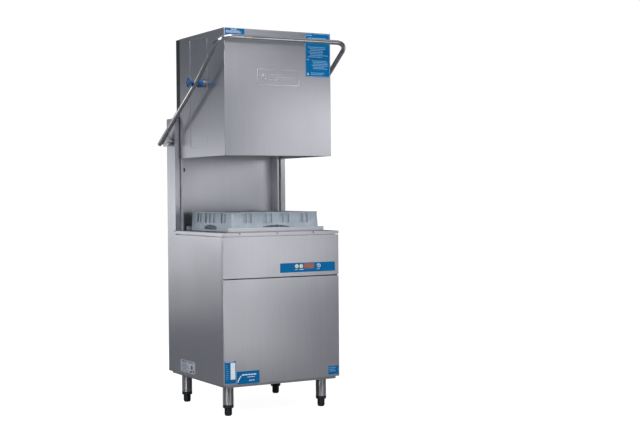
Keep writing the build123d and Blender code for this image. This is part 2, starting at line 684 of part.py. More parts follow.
def roller(side):
    """Grooved roller: two flanges with a round waist that the handle tube runs in."""
    with BuildPart() as wheel:
        with BuildSketch(Plane.XZ.offset(-roller_y)):
            with BuildLine():
                Line((side * 314, roller_z + pin_radius + running), (side * 314, roller_z + 22))
                Line((side * 314, roller_z + 22), (side * 335, roller_z + 22))
                ThreePointArc((side * 335, roller_z + 22), (side * handle_x, roller_z + roller_neck),
                              (side * 381, roller_z + 22))
                Line((side * 381, roller_z + 22), (side * 385, roller_z + 25))
                Line((side * 385, roller_z + 25), (side * 386, roller_z + 25))
                Line((side * 386, roller_z + 25), (side * 386, roller_z + pin_radius + running))
                Line((side * 386, roller_z + pin_radius + running), (side * 314, roller_z + pin_radius + running))
            make_face()
        revolve(axis=Axis((0, roller_y, roller_z), (1, 0, 0)))
    return wheel


save(roller(-1), "left_roller")
save(roller(1), "right_roller")

# ---------------------------------------------------------------- handle, brackets, cranks, springs
tail_y = cab_front + 706
tail_z = arm_foot_z - (tail_y - arm_foot_y) * tan(slope)
bend_y = cab_front + 237
bend_z = arm_foot_z + (arm_foot_y - bend_y) * tan(slope)
bar_y = front_edge + tube_radius
bar_z = 1862
corner_bend = 65

with BuildPart() as handle_tube:
    pipe([(-handle_x, tail_y, tail_z), (-handle_x, bend_y, bend_z), (-handle_x, bar_y, bar_z),
          (handle_x, bar_y, bar_z), (handle_x, bend_y, bend_z), (handle_x, tail_y, tail_z)],
         (300, corner_bend, corner_bend, 300), tube_radius, tube_wall)
save(handle_tube, "handle_tube")


def along_arm(distance, below):
    """A point on the handle arm's plane: distance forward of the arm's foot, and below the tube's line."""
    return (arm_foot_y - distance * cos(slope) - below * sin(slope),
            arm_foot_z + distance * sin(slope) - below * cos(slope))


bracket_x = (handle_x - 8, handle_x - 3)

with BuildPart() as handle_brackets:
    for side in (-1, 1):
        with BuildSketch(Plane.YZ.offset(side * bracket_x[0])):
            Polygon(along_arm(-72, 4), along_arm(-60, 40), along_arm(-16, 62), along_arm(14, 56),
                    along_arm(30, 34), along_arm(44, 4), align=None)
            with Locations(along_arm(0, pivot_offset)):
                Circle(20)
            with Locations(along_arm(-34, pivot_offset - 8)):
                Circle(5, mode=Mode.SUBTRACT)
        extrude(amount=side * (bracket_x[1] - bracket_x[0]))
        rod("x", (pivot_y, pivot_z), mirrored(side, bracket_x[0] - 1, bracket_x[1] + 1),
            shaft_radius + 0.02, Mode.SUBTRACT)
        arm_start = along_arm(-150, 0)
        with BuildSketch(Plane(origin=(side * handle_x, arm_start[0], arm_start[1]),
                               z_dir=(0, -cos(slope), sin(slope)))):
            Circle(tube_radius + 0.05)
        extrude(amount=300, mode=Mode.SUBTRACT)
save(handle_brackets, "handle_brackets")

crank_x = (311, 316)
crank_drop = 25
crank_reach = spring_y - pivot_y

with BuildPart() as pivot_cranks:
    for side in (-1, 1):
        rod("x", (pivot_y, pivot_z), mirrored(side, crank_x[0], bracket_x[1] + 4), shaft_radius)
        with BuildSketch(Plane.YZ.offset(side * crank_x[0])):
            with Locations(Location((pivot_y + crank_reach / 2, pivot_z - crank_drop / 2, 0), (0, 0, -30))):
                SlotOverall(74, 24)
        extrude(amount=side * (crank_x[1] - crank_x[0]))
        rod("x", (spring_y, pivot_z - crank_drop), mirrored(side, 296, crank_x[0]), 4)
save(pivot_cranks, "pivot_cranks")

with BuildPart() as pivot_bearings:
    for side in (-1, 1):
        rod("x", (pivot_y, pivot_z), mirrored(side, 318, cab_x), 16)
        rod("x", (pivot_y, pivot_z), mirrored(side, cab_x, cab_x + 4), 15.5)
        rod("x", (pivot_y, pivot_z), mirrored(side, 317, cab_x + 5), shaft_radius + running, Mode.SUBTRACT)
save(pivot_bearings, "pivot_bearings")

spring_top = pivot_z - crank_drop - 4

with BuildPart() as counterbalance_springs:
    for side in (-1, 1):
        at = (side * spring_x, spring_y)
        rod("z", at, (shelf_z + 14, spring_top - 14), 12)
        rod("z", at, (shelf_z + 17, spring_top - 13), 9, Mode.SUBTRACT)
        rod("z", at, (shelf_z + 4, shelf_z + 16), 2)
        rod("z", at, (spring_top - 17, spring_top), 2)
        rod("z", at, (spring_top - 17, spring_top - 14), 12)
save(counterbalance_springs, "counterbalance_springs")

# ---------------------------------------------------------------- screws
screw_radius = 4

with BuildPart() as panel_screws:
    for x in (-234, -27, 180):
        rod("y", (x, 903), (cab_front - 2, cab_front), screw_radius)
    for side in (-1, 1):
        rod("x", (col_front + 11, 906), mirrored(side, cab_x, cab_x + 2), screw_radius)
        for z in (190, 420, 640, 870, 920, 1200, 1480):
            rod("y", (side * (cab_x - 6), z), (cab_back, cab_back + 2), screw_radius)
save(panel_screws, "panel_screws")

# ---------------------------------------------------------------- dish rack
rack_x = rack_size / 2
rack_ys = (rack_y - rack_x, rack_y + rack_x)
rack_top = rack_bottom + rack_height
rack_wall = 5
cell_pitch = 46
cell_size = 38
slot_offsets = (24, 77, 121, 151, 179)
slot_zs = (rack_top - 51, rack_top - 5)
grip_half = 74
grip_zs = (rack_bottom + 8, rack_bottom + 29)

with BuildPart() as rack:
    block((-rack_x, rack_x), rack_ys, (rack_bottom, rack_top))
    fillet(rack.edges().filter_by(Axis.Z), 18)
    block((-rack_x + rack_wall, rack_x - rack_wall), (rack_ys[0] + rack_wall, rack_ys[1] - rack_wall),
          (rack_bottom + 8, rack_top + 1), Mode.SUBTRACT)
    with BuildSketch(Plane.XY.offset(rack_bottom)):
        with Locations((0, rack_y)):
            with GridLocations(cell_pitch, cell_pitch, 10, 10):
                Rectangle(cell_size, cell_size)
    extrude(amount=8, mode=Mode.SUBTRACT)
    for side in (-1, 1):
        wall = side * (rack_x - rack_wall)
        outer = side * rack_x
        for offset in slot_offsets:
            for x in (-offset, offset):
                block((x - 3, x + 3), (rack_y + wall, rack_y + outer), slot_zs, Mode.SUBTRACT)
                block((wall, outer), (rack_y + x - 3, rack_y + x + 3), slot_zs, Mode.SUBTRACT)
        block((-grip_half, grip_half), (rack_y + wall, rack_y + outer), grip_zs, Mode.SUBTRACT)
        block((wall, outer), (rack_y - grip_half, rack_y + grip_half), grip_zs, Mode.SUBTRACT)
save(rack, "rack")
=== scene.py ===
import json
import math
import random
from collections import namedtuple

import bmesh
import bpy
from mathutils import Matrix, Vector


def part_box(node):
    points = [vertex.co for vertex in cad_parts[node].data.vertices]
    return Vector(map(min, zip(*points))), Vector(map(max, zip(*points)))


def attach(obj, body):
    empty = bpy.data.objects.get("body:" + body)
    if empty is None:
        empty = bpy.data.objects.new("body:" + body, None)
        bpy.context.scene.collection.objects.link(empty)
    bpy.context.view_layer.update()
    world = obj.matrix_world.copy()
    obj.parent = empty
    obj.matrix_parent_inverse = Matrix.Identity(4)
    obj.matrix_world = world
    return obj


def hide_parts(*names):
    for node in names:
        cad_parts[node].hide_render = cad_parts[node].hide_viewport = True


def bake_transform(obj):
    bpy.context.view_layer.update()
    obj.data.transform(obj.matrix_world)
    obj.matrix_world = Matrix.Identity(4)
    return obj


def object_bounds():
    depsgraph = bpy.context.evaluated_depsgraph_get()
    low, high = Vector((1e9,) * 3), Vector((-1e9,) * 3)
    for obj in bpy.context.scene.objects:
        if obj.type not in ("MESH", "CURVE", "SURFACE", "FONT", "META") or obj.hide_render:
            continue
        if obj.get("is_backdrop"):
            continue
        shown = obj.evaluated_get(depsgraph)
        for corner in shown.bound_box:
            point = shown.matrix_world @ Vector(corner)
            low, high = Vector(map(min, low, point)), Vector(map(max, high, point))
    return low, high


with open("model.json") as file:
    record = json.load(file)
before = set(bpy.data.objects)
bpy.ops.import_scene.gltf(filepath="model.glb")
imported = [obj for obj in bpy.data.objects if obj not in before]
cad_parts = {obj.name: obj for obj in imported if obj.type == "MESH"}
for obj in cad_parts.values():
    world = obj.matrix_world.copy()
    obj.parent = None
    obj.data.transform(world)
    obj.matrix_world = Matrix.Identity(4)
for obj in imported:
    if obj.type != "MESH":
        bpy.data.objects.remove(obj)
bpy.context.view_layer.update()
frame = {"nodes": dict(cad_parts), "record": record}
nodes = frame["nodes"]


# ------------------------------------------------------------------ camera
CAMERA_AT = Vector((-2.946, -5.875, 1.099))
CAMERA_YAW = math.radians(29.70)
CAMERA_PITCH = math.radians(-0.92)
CAMERA_ROLL = math.radians(-0.47)
CAMERA_LENS = 70.72
CAMERA_SENSOR = 36

view = Vector((
    math.sin(CAMERA_YAW) * math.cos(CAMERA_PITCH),
    math.cos(CAMERA_YAW) * math.cos(CAMERA_PITCH),
    math.sin(CAMERA_PITCH),
))
sideways = Vector((math.cos(CAMERA_YAW), -math.sin(CAMERA_YAW), 0))
upright = sideways.cross(view)
right = math.cos(CAMERA_ROLL) * sideways + math.sin(CAMERA_ROLL) * upright
up = -math.sin(CAMERA_ROLL) * sideways + math.cos(CAMERA_ROLL) * upright
camera = bpy.data.objects.new("camera", bpy.data.cameras.new("camera"))
camera.data.lens = CAMERA_LENS
camera.data.sensor_width = CAMERA_SENSOR
camera.matrix_world = Matrix.Translation(CAMERA_AT) @ Matrix((right, up, -view)).transposed().to_4x4()
bpy.context.scene.collection.objects.link(camera)
bpy.context.scene.camera = camera


# ------------------------------------------------------------------ node helpers
# The Mix node has sockets for every data type. These are the places of its colour sockets.
MIX_FIRST, MIX_SECOND, MIX_RESULT = 6, 7, 2


class Shader:
    """A material's node tree, with short calls for the nodes that this script uses."""

    def __init__(self, name):
        self.material = bpy.data.materials.new(name)
        self.material.use_nodes = True
        self.tree = self.material.node_tree
        self.bsdf = self.tree.nodes["Principled BSDF"]

    def node(self, kind, **settings):
        made = self.tree.nodes.new(kind)
        for key, value in settings.items():
            setattr(made, key, value)
        return made

    def link(self, source, target):
        self.tree.links.new(source, target)

    def set(self, **values):
        """Sets sockets on the Principled node by their names in small letters, such as coat_weight."""
        for key, value in values.items():
            self.bsdf.inputs[key.replace("_", " ").title().replace("Ior", "IOR")].default_value = value

    def coords(self, stretch=(1, 1, 1)):
        place = self.node("ShaderNodeTexCoord")
        scale = self.node("ShaderNodeMapping")
        scale.inputs["Scale"].default_value = stretch
        self.link(place.outputs["Object"], scale.inputs["Vector"])
        return scale.outputs["Vector"]

    def noise(self, scale, stretch=(1, 1, 1), detail=3, roughness=0.55):
        made = self.node("ShaderNodeTexNoise")
        made.inputs["Scale"].default_value = scale
        made.inputs["Detail"].default_value = detail
        made.inputs["Roughness"].default_value = roughness
        self.link(self.coords(stretch), made.inputs["Vector"])
        return made.outputs["Fac"]

    def spread(self, source, low, high, start=0.3, end=0.7):
        """Maps a value's range from start to end onto low to high, and holds it there beyond the ends."""
        made = self.node("ShaderNodeMapRange")
        for key, value in (("From Min", start), ("From Max", end), ("To Min", low), ("To Max", high)):
            made.inputs[key].default_value = value
        self.link(source, made.inputs["Value"])
        return made.outputs["Result"]

    def blend_colours(self, factor, first, second):
        made = self.node("ShaderNodeMix", data_type="RGBA")
        self.link(factor, made.inputs["Factor"])
        for socket, value in ((made.inputs[MIX_FIRST], first), (made.inputs[MIX_SECOND], second)):
            if isinstance(value, bpy.types.NodeSocket):
                self.link(value, socket)
            else:
                socket.default_value = (*value, 1)
        return made.outputs[MIX_RESULT]

    def bump(self, height, strength, distance, under=None):
        made = self.node("ShaderNodeBump")
        made.inputs["Strength"].default_value = strength
        made.inputs["Distance"].default_value = distance
        self.link(height, made.inputs["Height"])
        if under is not None:
            self.link(under, made.inputs["Normal"])
        return made.outputs["Normal"]

    def stretch_round_upright(self):
        """Lets the stretched sheen follow circles round the upright axis."""
        tangent = self.node("ShaderNodeTangent", direction_type="RADIAL", axis="Z")
        self.link(tangent.outputs["Tangent"], self.bsdf.inputs["Tangent"])

    def surface(self, colour, roughness, normal):
        """Links the Principled node's three main inputs and gives the finished material."""
        for socket, source in (("Base Color", colour), ("Roughness", roughness), ("Normal", normal)):
            self.link(source, self.bsdf.inputs[socket])
        return self.material


def grey(value):
    return (value, value, value)


def shades(colour, darker, lighter):
    """A colour multiplied by each of two factors."""
    return tuple(c * darker for c in colour), tuple(min(1, c * lighter) for c in colour)


# ------------------------------------------------------------------ materials
STEEL_TINT = (1.004, 1.0, 1.05)
SOFT_EDGE_RADIUS = 0.0015


def brushed(name, tone, rough, grain=(420, 420, 5), anisotropy=0.65):
    """Steel with a fine upright grain and faint handling marks. On upright faces the sheen is stretched
    across the grain; on level faces it isn't."""
    s = Shader(name)
    s.set(metallic=1.0)
    normal = s.node("ShaderNodeSeparateXYZ")
    s.link(s.node("ShaderNodeTexCoord").outputs["Normal"], normal.inputs["Vector"])
    flatness = s.node("ShaderNodeMath", operation="ABSOLUTE")
    s.link(normal.outputs["Z"], flatness.inputs[0])
    s.link(s.spread(flatness.outputs[0], anisotropy, 0), s.bsdf.inputs["Anisotropic"])
    s.stretch_round_upright()
    fine = s.noise(1.0, grain, detail=4)
    broad = s.noise(1.0, (grain[0] / 14, grain[1] / 14, grain[2] / 6), detail=3)
    smudge = s.noise(5.0, detail=4, roughness=0.6)
    dark, light, patch = (tuple(tone * share * part for part in STEEL_TINT) for share in (0.95, 1.04, 0.94))
    streaks = s.blend_colours(s.spread(fine, 0, 1), dark, light)
    haze = s.node("ShaderNodeMath", operation="ADD")
    s.link(s.spread(fine, rough - 0.025, rough + 0.025), haze.inputs[0])
    s.link(s.spread(smudge, -0.01, 0.03), haze.inputs[1])
    soft_edge = s.node("ShaderNodeBevel", samples=4)
    soft_edge.inputs["Radius"].default_value = SOFT_EDGE_RADIUS
    return s.surface(
        s.blend_colours(s.spread(broad, 0, 0.35), streaks, patch),
        haze.outputs[0],
        s.bump(fine, 0.012, 0.0003, soft_edge.outputs["Normal"]),
    )


def tube_steel(name, tone, rough, upright_sheen=0.0):
    """Drawn and polished tube or bar: bright, with fine random scratches. An upright sheen stands for the
    turned marks round an upright tube."""
    s = Shader(name)
    s.set(metallic=1.0)
    if upright_sheen:
        s.set(anisotropic=upright_sheen, anisotropic_rotation=0.25)
        s.stretch_round_upright()
    fine = s.noise(900, detail=3)
    worn = s.noise(24, detail=4)
    return s.surface(
        s.blend_colours(s.spread(worn, 0, 1), grey(tone * 0.93), grey(tone * 1.05)),
        s.spread(worn, rough - 0.03, rough + 0.06),
        s.bump(fine, 0.012, 0.0001),
    )


def moulded(name, colour, rough, grain=0.1, coat=0.0):
    """Moulded plastic or rubber with a slight skin texture and uneven gloss."""
    s = Shader(name)
    s.set(coat_weight=coat)
    if coat:
        s.set(coat_roughness=0.08)
    skin = s.noise(700, detail=3)
    patches = s.noise(18, detail=4)
    return s.surface(
        s.blend_colours(s.spread(patches, 0, 1), *shades(colour, 0.86, 1.14)),
        s.spread(patches, rough - 0.05, rough + 0.07),
        s.bump(skin, grain, 0.0004),
    )


def cast_metal(name, colour, rough):
    """Machined or cast metal with a speckled tone."""
    s = Shader(name)
    s.set(metallic=1.0)
    speckle = s.noise(240, detail=5)
    patches = s.noise(20, detail=3)
    return s.surface(
        s.blend_colours(s.spread(patches, 0, 1), *shades(colour, 0.8, 1)),
        s.spread(speckle, rough - 0.08, rough + 0.1),
        s.bump(speckle, 0.2, 0.0004),
    )


def printed(name, colour, rough=0.42):
    """Printed plastic film: even colour with slightly uneven ink and a soft gloss."""
    s = Shader(name)
    s.set(specular_ior_level=0.1)
    ink = s.noise(160, detail=3)
    return s.surface(
        s.blend_colours(s.spread(ink, 0, 1), *shades(colour, 0.9, 1.07)),
        s.spread(ink, rough - 0.03, rough + 0.05),
        s.bump(ink, 0.03, 0.0002),
    )


finishes = {
    "brushed_sheet": brushed("brushed_sheet", 0.52, 0.31),
    "frame_steel": brushed("frame_steel", 0.4, 0.45, anisotropy=0.3),
    "inner_steel": brushed("inner_steel", 0.6, 0.3, grain=(260, 260, 30), anisotropy=0.4),
    # The emblem's finish is glossier than the sheet, and its lighter tone is painted highlight for the light
    # on its raised edges.
    "emblem_sheet_painted_highlight": brushed("emblem_sheet_painted_highlight", 0.68, 0.24),
    "polished_tube": tube_steel("polished_tube", 0.49, 0.13),
    "leg_tube": tube_steel("leg_tube", 0.48, 0.4, upright_sheen=0.95),
    "spring_steel": tube_steel("spring_steel", 0.45, 0.3),
    "screw_steel": tube_steel("screw_steel", 0.2, 0.35),
    "silver_button": tube_steel("silver_button", 0.8, 0.2),
    "black_plastic": moulded("black_plastic", (0.012, 0.012, 0.013), 0.42),
    "bearing_plastic": moulded("bearing_plastic", (0.05, 0.05, 0.052), 0.4),
    "blue_plastic": moulded("blue_plastic", (0.0, 0.105, 0.32), 0.24, grain=0.03, coat=0.3),
    "cream_plastic": moulded("cream_plastic", (0.72, 0.70, 0.62), 0.3, grain=0.03, coat=0.2),
    "grey_plastic": moulded("grey_plastic", (0.12, 0.13, 0.14), 0.45),
    "guide_plastic": moulded("guide_plastic", (0.6, 0.6, 0.61), 0.45),
    "rack_plastic": moulded("rack_plastic", (0.355, 0.405, 0.455), 0.42, grain=0.05),
    "display_window": moulded("display_window", (0.27, 0.065, 0.042), 0.2, grain=0.02, coat=0.5),
    "hose_rubber": moulded("hose_rubber", (0.02, 0.02, 0.02), 0.6, grain=0.3),
    "motor_alloy": cast_metal("motor_alloy", (0.5, 0.51, 0.53), 0.45),
    "brass": cast_metal("brass", (0.72, 0.5, 0.2), 0.3),
    "blue_film": printed("blue_film", (0.0, 0.135, 0.34)),
    "white_ink": printed("white_ink", (0.86, 0.88, 0.9)),
    "pale_ink": printed("pale_ink", (0.3, 0.52, 0.68)),
    "dark_ink": printed("dark_ink", (0.03, 0.035, 0.04)),
    "button_centre": printed("button_centre", (0.72, 0.56, 0.2)),
    "plate_foil": printed("plate_foil", (0.5, 0.53, 0.58)),
    "display_segments": printed("display_segments", (0.48, 0.12, 0.07)),
}

# The legs share a record slot with other tube, and have a finish of their own.
slot_of = {entry["node"]: entry["material_slot"] for entry in frame["record"]["subparts"]}
for name, node in nodes.items():
    node.data.materials.clear()
    node.data.materials.append(finishes["leg_tube" if name == "legs" else slot_of[name]])


# ------------------------------------------------------------------ mesh helpers
X, Y, Z = Vector((1, 0, 0)), Vector((0, 1, 0)), Vector((0, 0, 1))


def facing(origin, u, v, w):
    """A placement whose local x, y and z run along u, v and w."""
    return Matrix.Translation(origin) @ Matrix((u, v, w)).transposed().to_4x4()


def front_face(node):
    """A placement on the front of a CAD node: local x runs right, y up and z out of the face."""
    return facing((0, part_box(node)[0].y, 0), X, Z, -Y)


def axis_place(at, direction):
    """A placement at a point whose local z runs along a direction."""
    return Matrix.Translation(at) @ Vector(direction).to_track_quat("Z", "Y").to_matrix().to_4x4()


def angles(count):
    """Evenly spaced angles that make one turn."""
    return [2 * math.pi * k / count for k in range(count)]


def rounded(u, v, radius, steps=5):
    """Outline of a rectangle with rounded corners, anticlockwise."""
    points = []
    corners = ((1, 1, 0), (0, 1, 90), (0, 0, 180), (1, 0, 270))
    for far_u, far_v, start in corners:
        centre_u = u[1] - radius if far_u else u[0] + radius
        centre_v = v[1] - radius if far_v else v[0] + radius
        for step in range(steps + 1):
            turn = math.radians(start + 90 * step / steps)
            points.append((centre_u + radius * math.cos(turn), centre_v + radius * math.sin(turn)))
    return points


def prism(bm, outline, depth, place, hole=None):
    """A closed prism over an outline, from depth[0] to depth[1], with an optional hole of as many points."""
    rings = []
    for points in ((outline,) if hole is None else (outline, hole)):
        for w in depth:
            rings.append([bm.verts.new(place @ Vector((p[0], p[1], w))) for p in points])
    count = len(outline)
    for k in range(count):
        n = (k + 1) % count
        bm.faces.new((rings[0][k], rings[0][n], rings[1][n], rings[1][k]))
        if hole is not None:
            bm.faces.new((rings[2][n], rings[2][k], rings[3][k], rings[3][n]))
            bm.faces.new((rings[1][k], rings[1][n], rings[3][n], rings[3][k]))
            bm.faces.new((rings[0][n], rings[0][k], rings[2][k], rings[2][n]))
    if hole is None:
        bm.faces.new(rings[1])
        bm.faces.new(list(reversed(rings[0])))


def bar(bm, u, v, depth, place):
    prism(bm, [(u[0], v[0]), (u[1], v[0]), (u[1], v[1]), (u[0], v[1])], depth, place)


def lathe(bm, profile, place, segments=32):
    """A closed solid of revolution about local z. The profile runs (radius, height) from axis to axis,
    or is a loop."""
    open_ended = profile[0][0] == 0 and profile[-1][0] == 0
    around = [(math.cos(t), math.sin(t)) for t in angles(segments)]
    rings = []
    for radius, height in profile:
        spots = around if radius else around[:1]
        rings.append([bm.verts.new(place @ Vector((radius * c, radius * s, height))) for c, s in spots])
    pairs = list(zip(rings, rings[1:])) + ([] if open_ended else [(rings[-1], rings[0])])
    for low, high in pairs:
        for k in range(segments):
            n = (k + 1) % segments
            corners = [low[k % len(low)], low[n % len(low)], high[n % len(high)], high[k % len(high)]]
            corners = list(dict.fromkeys(corners))
            if len(corners) > 2:
                bm.faces.new(corners)


def sweep(bm, points, radius, segments=8, closed=False):
    """A round wire along points, with flat ends unless it is closed."""
    points = [Vector(p) for p in points]
    count = len(points)
    normal = None
    rings = []
    for k, point in enumerate(points):
        before = points[(k - 1) % count] if closed or k else point
        after = points[(k + 1) % count] if closed or k < count - 1 else point
        along = (after - before).normalized()
        if normal is None:
            normal = along.orthogonal().normalized()
        normal = (normal - along * normal.dot(along)).normalized()
        side = along.cross(normal)
        ring = [point + radius * (math.cos(t) * normal + math.sin(t) * side) for t in angles(segments)]
        rings.append([bm.verts.new(spot) for spot in ring])
    pairs = list(zip(rings, rings[1:])) + ([(rings[-1], rings[0])] if closed else [])
    for low, high in pairs:
        for k in range(segments):
            n = (k + 1) % segments
            bm.faces.new((low[k], low[n], high[n], high[k]))
    if not closed:
        bm.faces.new(list(reversed(rings[0])))
        bm.faces.new(rings[-1])


WELD = 1e-7
SMOOTH_BELOW = math.radians(35)


def piece(name, bm, finish, body, stands_for=()):
    """Turns a bmesh into a named piece with a finish and a body to ride on, or with no body."""
    bmesh.ops.remove_doubles(bm, verts=bm.verts, dist=WELD)
    bmesh.ops.recalc_face_normals(bm, faces=bm.faces)
    mesh = bpy.data.meshes.new(name)
    bm.to_mesh(mesh)
    bm.free()
    mesh.materials.append(finishes[finish])
    made = bpy.data.objects.new(name, mesh)
    bpy.context.scene.collection.objects.link(made)
    mesh.shade_smooth()
    mesh.set_sharp_from_angle(angle=SMOOTH_BELOW)
    if body:
        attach(made, body)
    if stands_for:
        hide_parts(*stands_for)
    return made


# ------------------------------------------------------------------ labels, emblem and data plate
FILM = 0.0004
INK = 0.00012
ON_SHEET = (0, FILM)
ON_FILM = (FILM, FILM + INK)
ON_INK = (FILM + INK, FILM + 2 * INK)
on_hood = front_face("hood_shell")
on_front = front_face("front_service_panel")
on_side = facing((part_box("left_side_panel")[0].x, 0, 0), -Y, Z, -X)
draw = random.Random(7)


def rows(bm, blocks, depth, place):
    """Rows of short strokes that stand for lines of print. Each block has its span across, its top, the
    pitch and number of its rows, the height of a stroke, the words in a row, and the indent of two rows in
    three."""
    for (left, right), top, pitch, count, tall, words, indent in blocks:
        step = (right - left) / words
        for line in range(count):
            v = top - line * pitch
            at = left + (indent if line % 3 else 0)
            end = right - draw.uniform(0, 0.35) * (right - left)
            while at < end:
                length = min(step * draw.uniform(0.45, 0.95), end - at)
                if length > step * 0.2:
                    bar(bm, (at, at + length), (v - tall, v), depth, place)
                at += length + step * 0.16


bm = bmesh.new()
prism(bm, rounded((-0.296, -0.189), (1.876, 1.9115), 0.0015), ON_SHEET, on_hood)
piece("hood_top_label", bm, "blue_film", "hood")

TOP_LABEL_ROWS = (
    ((-0.262, -0.222), 1.908, 0.006, 1, 0.0035, 2, 0),
    ((-0.29, -0.2), 1.9005, 0.0045, 3, 0.002, 9, 0),
)
bm = bmesh.new()
rows(bm, TOP_LABEL_ROWS, ON_FILM, on_hood)
piece("hood_top_label_print", bm, "white_ink", "hood")

bm = bmesh.new()
prism(bm, rounded((0.152, 0.2975), (1.689, 1.9108), 0.009), ON_SHEET, on_hood)
piece("hood_side_label", bm, "blue_film", "hood")

SIDE_LABEL_ROWS = (
    ((0.16, 0.2), 1.902, 0.008, 1, 0.004, 2, 0),
    ((0.172, 0.285), 1.888, 0.0085, 2, 0.0032, 6, 0),
    ((0.168, 0.29), 1.842, 0.0082, 7, 0.0026, 9, 0.012),
    ((0.162, 0.18), 1.779, 0.01, 1, 0.0035, 1, 0),
    ((0.19, 0.288), 1.773, 0.0078, 6, 0.0026, 8, 0.008),
    ((0.185, 0.285), 1.712, 0.008, 2, 0.0026, 7, 0),
)
bm = bmesh.new()
rows(bm, SIDE_LABEL_ROWS, ON_FILM, on_hood)
piece("hood_side_label_print", bm, "pale_ink", "hood")

SIDE_LABEL_BORDER = rounded((0.1545, 0.295), (1.6915, 1.9083), 0.0075)
SIDE_LABEL_BORDER_HOLE = rounded((0.1553, 0.2942), (1.6923, 1.9075), 0.0067)
TRIANGLE = [(0.162, 1.70), (0.174, 1.70), (0.168, 1.711)]
TRIANGLE_HOLE = [(0.1645, 1.7015), (0.1715, 1.7015), (0.168, 1.708)]
bm = bmesh.new()
prism(bm, SIDE_LABEL_BORDER, ON_FILM, on_hood, SIDE_LABEL_BORDER_HOLE)
prism(bm, TRIANGLE, ON_FILM, on_hood, TRIANGLE_HOLE)
piece("hood_side_label_border", bm, "white_ink", "hood")

# The pressed emblem: a frame, a drop and three plain bars. Its finish is a glossier, lighter copy of the
# sheet's; the extra lightness is painted highlight.
PRESSED = (-0.0002, 0.0018)
DROP_AT = (-0.083, 1.679)
DROP = [(0.011 * math.sin(t) * (1 - 0.45 * max(0, math.cos(t))), 0.0165 * math.cos(t)) for t in angles(24)]
EMBLEM_BARS = (((-0.052, 0.028), 1.690), ((-0.052, 0.078), 1.677), ((-0.052, 0.002), 1.664))
EMBLEM_BAR_TALL = 0.005
bm = bmesh.new()
prism(bm, rounded((-0.121, 0.117), (1.639, 1.72), 0.009), PRESSED, on_hood,
      hole=rounded((-0.1175, 0.1135), (1.6425, 1.7165), 0.0055))
prism(bm, [(DROP_AT[0] - u, DROP_AT[1] + v) for u, v in DROP], PRESSED, on_hood,
      hole=[(DROP_AT[0] - u * 0.72, DROP_AT[1] + v * 0.76) for u, v in DROP])
for span, base in EMBLEM_BARS:
    prism(bm, rounded(span, (base, base + EMBLEM_BAR_TALL), 0.0024), PRESSED, on_hood)
piece("hood_emblem", bm, "emblem_sheet_painted_highlight", "hood")

# The edges of the shallow fields pressed into the hood's sides.
CREASE_X = 0.3
CREASE_YS = (-0.103, 0.107)
CREASE_ZS = (1.345, 1.5, 1.7, 1.885)
CREASE_RADIUS = 0.0007
bm = bmesh.new()
for side in (-1, 1):
    for y in CREASE_YS:
        sweep(bm, [(side * CREASE_X, y, z) for z in CREASE_ZS], CREASE_RADIUS)
piece("hood_crease_edges", bm, "brushed_sheet", "hood")

CABINET_LABELS = (
    ((-0.323, -0.262), (0.171, 0.281)),
    ((-0.259, -0.133), (0.164, 0.227)),
    ((0.2615, 0.3206), (0.1726, 0.216)),
)
bm = bmesh.new()
for across, tall in CABINET_LABELS:
    prism(bm, rounded(across, tall, 0.0015), ON_SHEET, on_front)
piece("cabinet_labels", bm, "blue_film", "cabinet")

CARD_ACROSS, CARD_TALL = (-0.291, -0.2655), (0.191, 0.272)
WHITE_ROWS = (
    ((-0.228, -0.145), 0.2115, 0.011, 1, 0.0055, 5, 0),
    ((-0.2, -0.145), 0.1985, 0.011, 1, 0.003, 4, 0),
    ((-0.19, -0.15), 0.182, 0.011, 1, 0.004, 3, 0),
    ((-0.318, -0.268), 0.279, 0.011, 1, 0.0028, 5, 0),
)
bm = bmesh.new()
bar(bm, CARD_ACROSS, CARD_TALL, ON_FILM, on_front)
rows(bm, WHITE_ROWS, ON_FILM, on_front)
piece("cabinet_label_print", bm, "white_ink", "cabinet")

CARD_RULES = [0.2685 - line * 0.0088 for line in range(9)]
CARD_RULE_TALL = 0.0009
PALE_ROWS = (
    ((-0.317, -0.297), 0.262, 0.0095, 8, 0.0012, 3, 0),
    ((0.267, 0.315), 0.208, 0.0085, 3, 0.0028, 5, 0),
)
bm = bmesh.new()
for v in CARD_RULES:
    bar(bm, CARD_ACROSS, (v - CARD_RULE_TALL, v), ON_INK, on_front)
rows(bm, PALE_ROWS, ON_FILM, on_front)
piece("cabinet_label_rows", bm, "pale_ink", "cabinet")

SWOOSH_AT, SWOOSH_WIDE, SWOOSH_TALL, SWOOSH_THICK = (-0.2545, 0.172), 0.02, 0.034, 0.0035
shares = [k / 9 for k in range(10)]
swoosh = [(SWOOSH_AT[0] + SWOOSH_WIDE * t, SWOOSH_AT[1] + SWOOSH_TALL * t ** 0.55) for t in shares]
swoosh += [(SWOOSH_AT[0] + SWOOSH_WIDE * t + SWOOSH_THICK, SWOOSH_AT[1] + SWOOSH_TALL * t ** 0.8)
           for t in reversed(shares)]
bm = bmesh.new()
prism(bm, swoosh, ON_FILM, on_front)
piece("cabinet_label_mark", bm, "white_ink", "cabinet")

PLATE = 0.0006
ON_PLATE = (PLATE, PLATE + INK)
RIVET = [(0, 0.0014), (0.0018, 0.0012), (0.0024, PLATE), (0.0024, 0), (0, 0)]
bm = bmesh.new()
prism(bm, rounded((-0.200, -0.017), (0.176, 0.238), 0.002), (0, PLATE), on_side)
for u in (-0.193, -0.024):
    for v in (0.182, 0.232):
        lathe(bm, RIVET, on_side @ Matrix.Translation((u, v, 0)), 16)
piece("rating_plate", bm, "plate_foil", "cabinet")

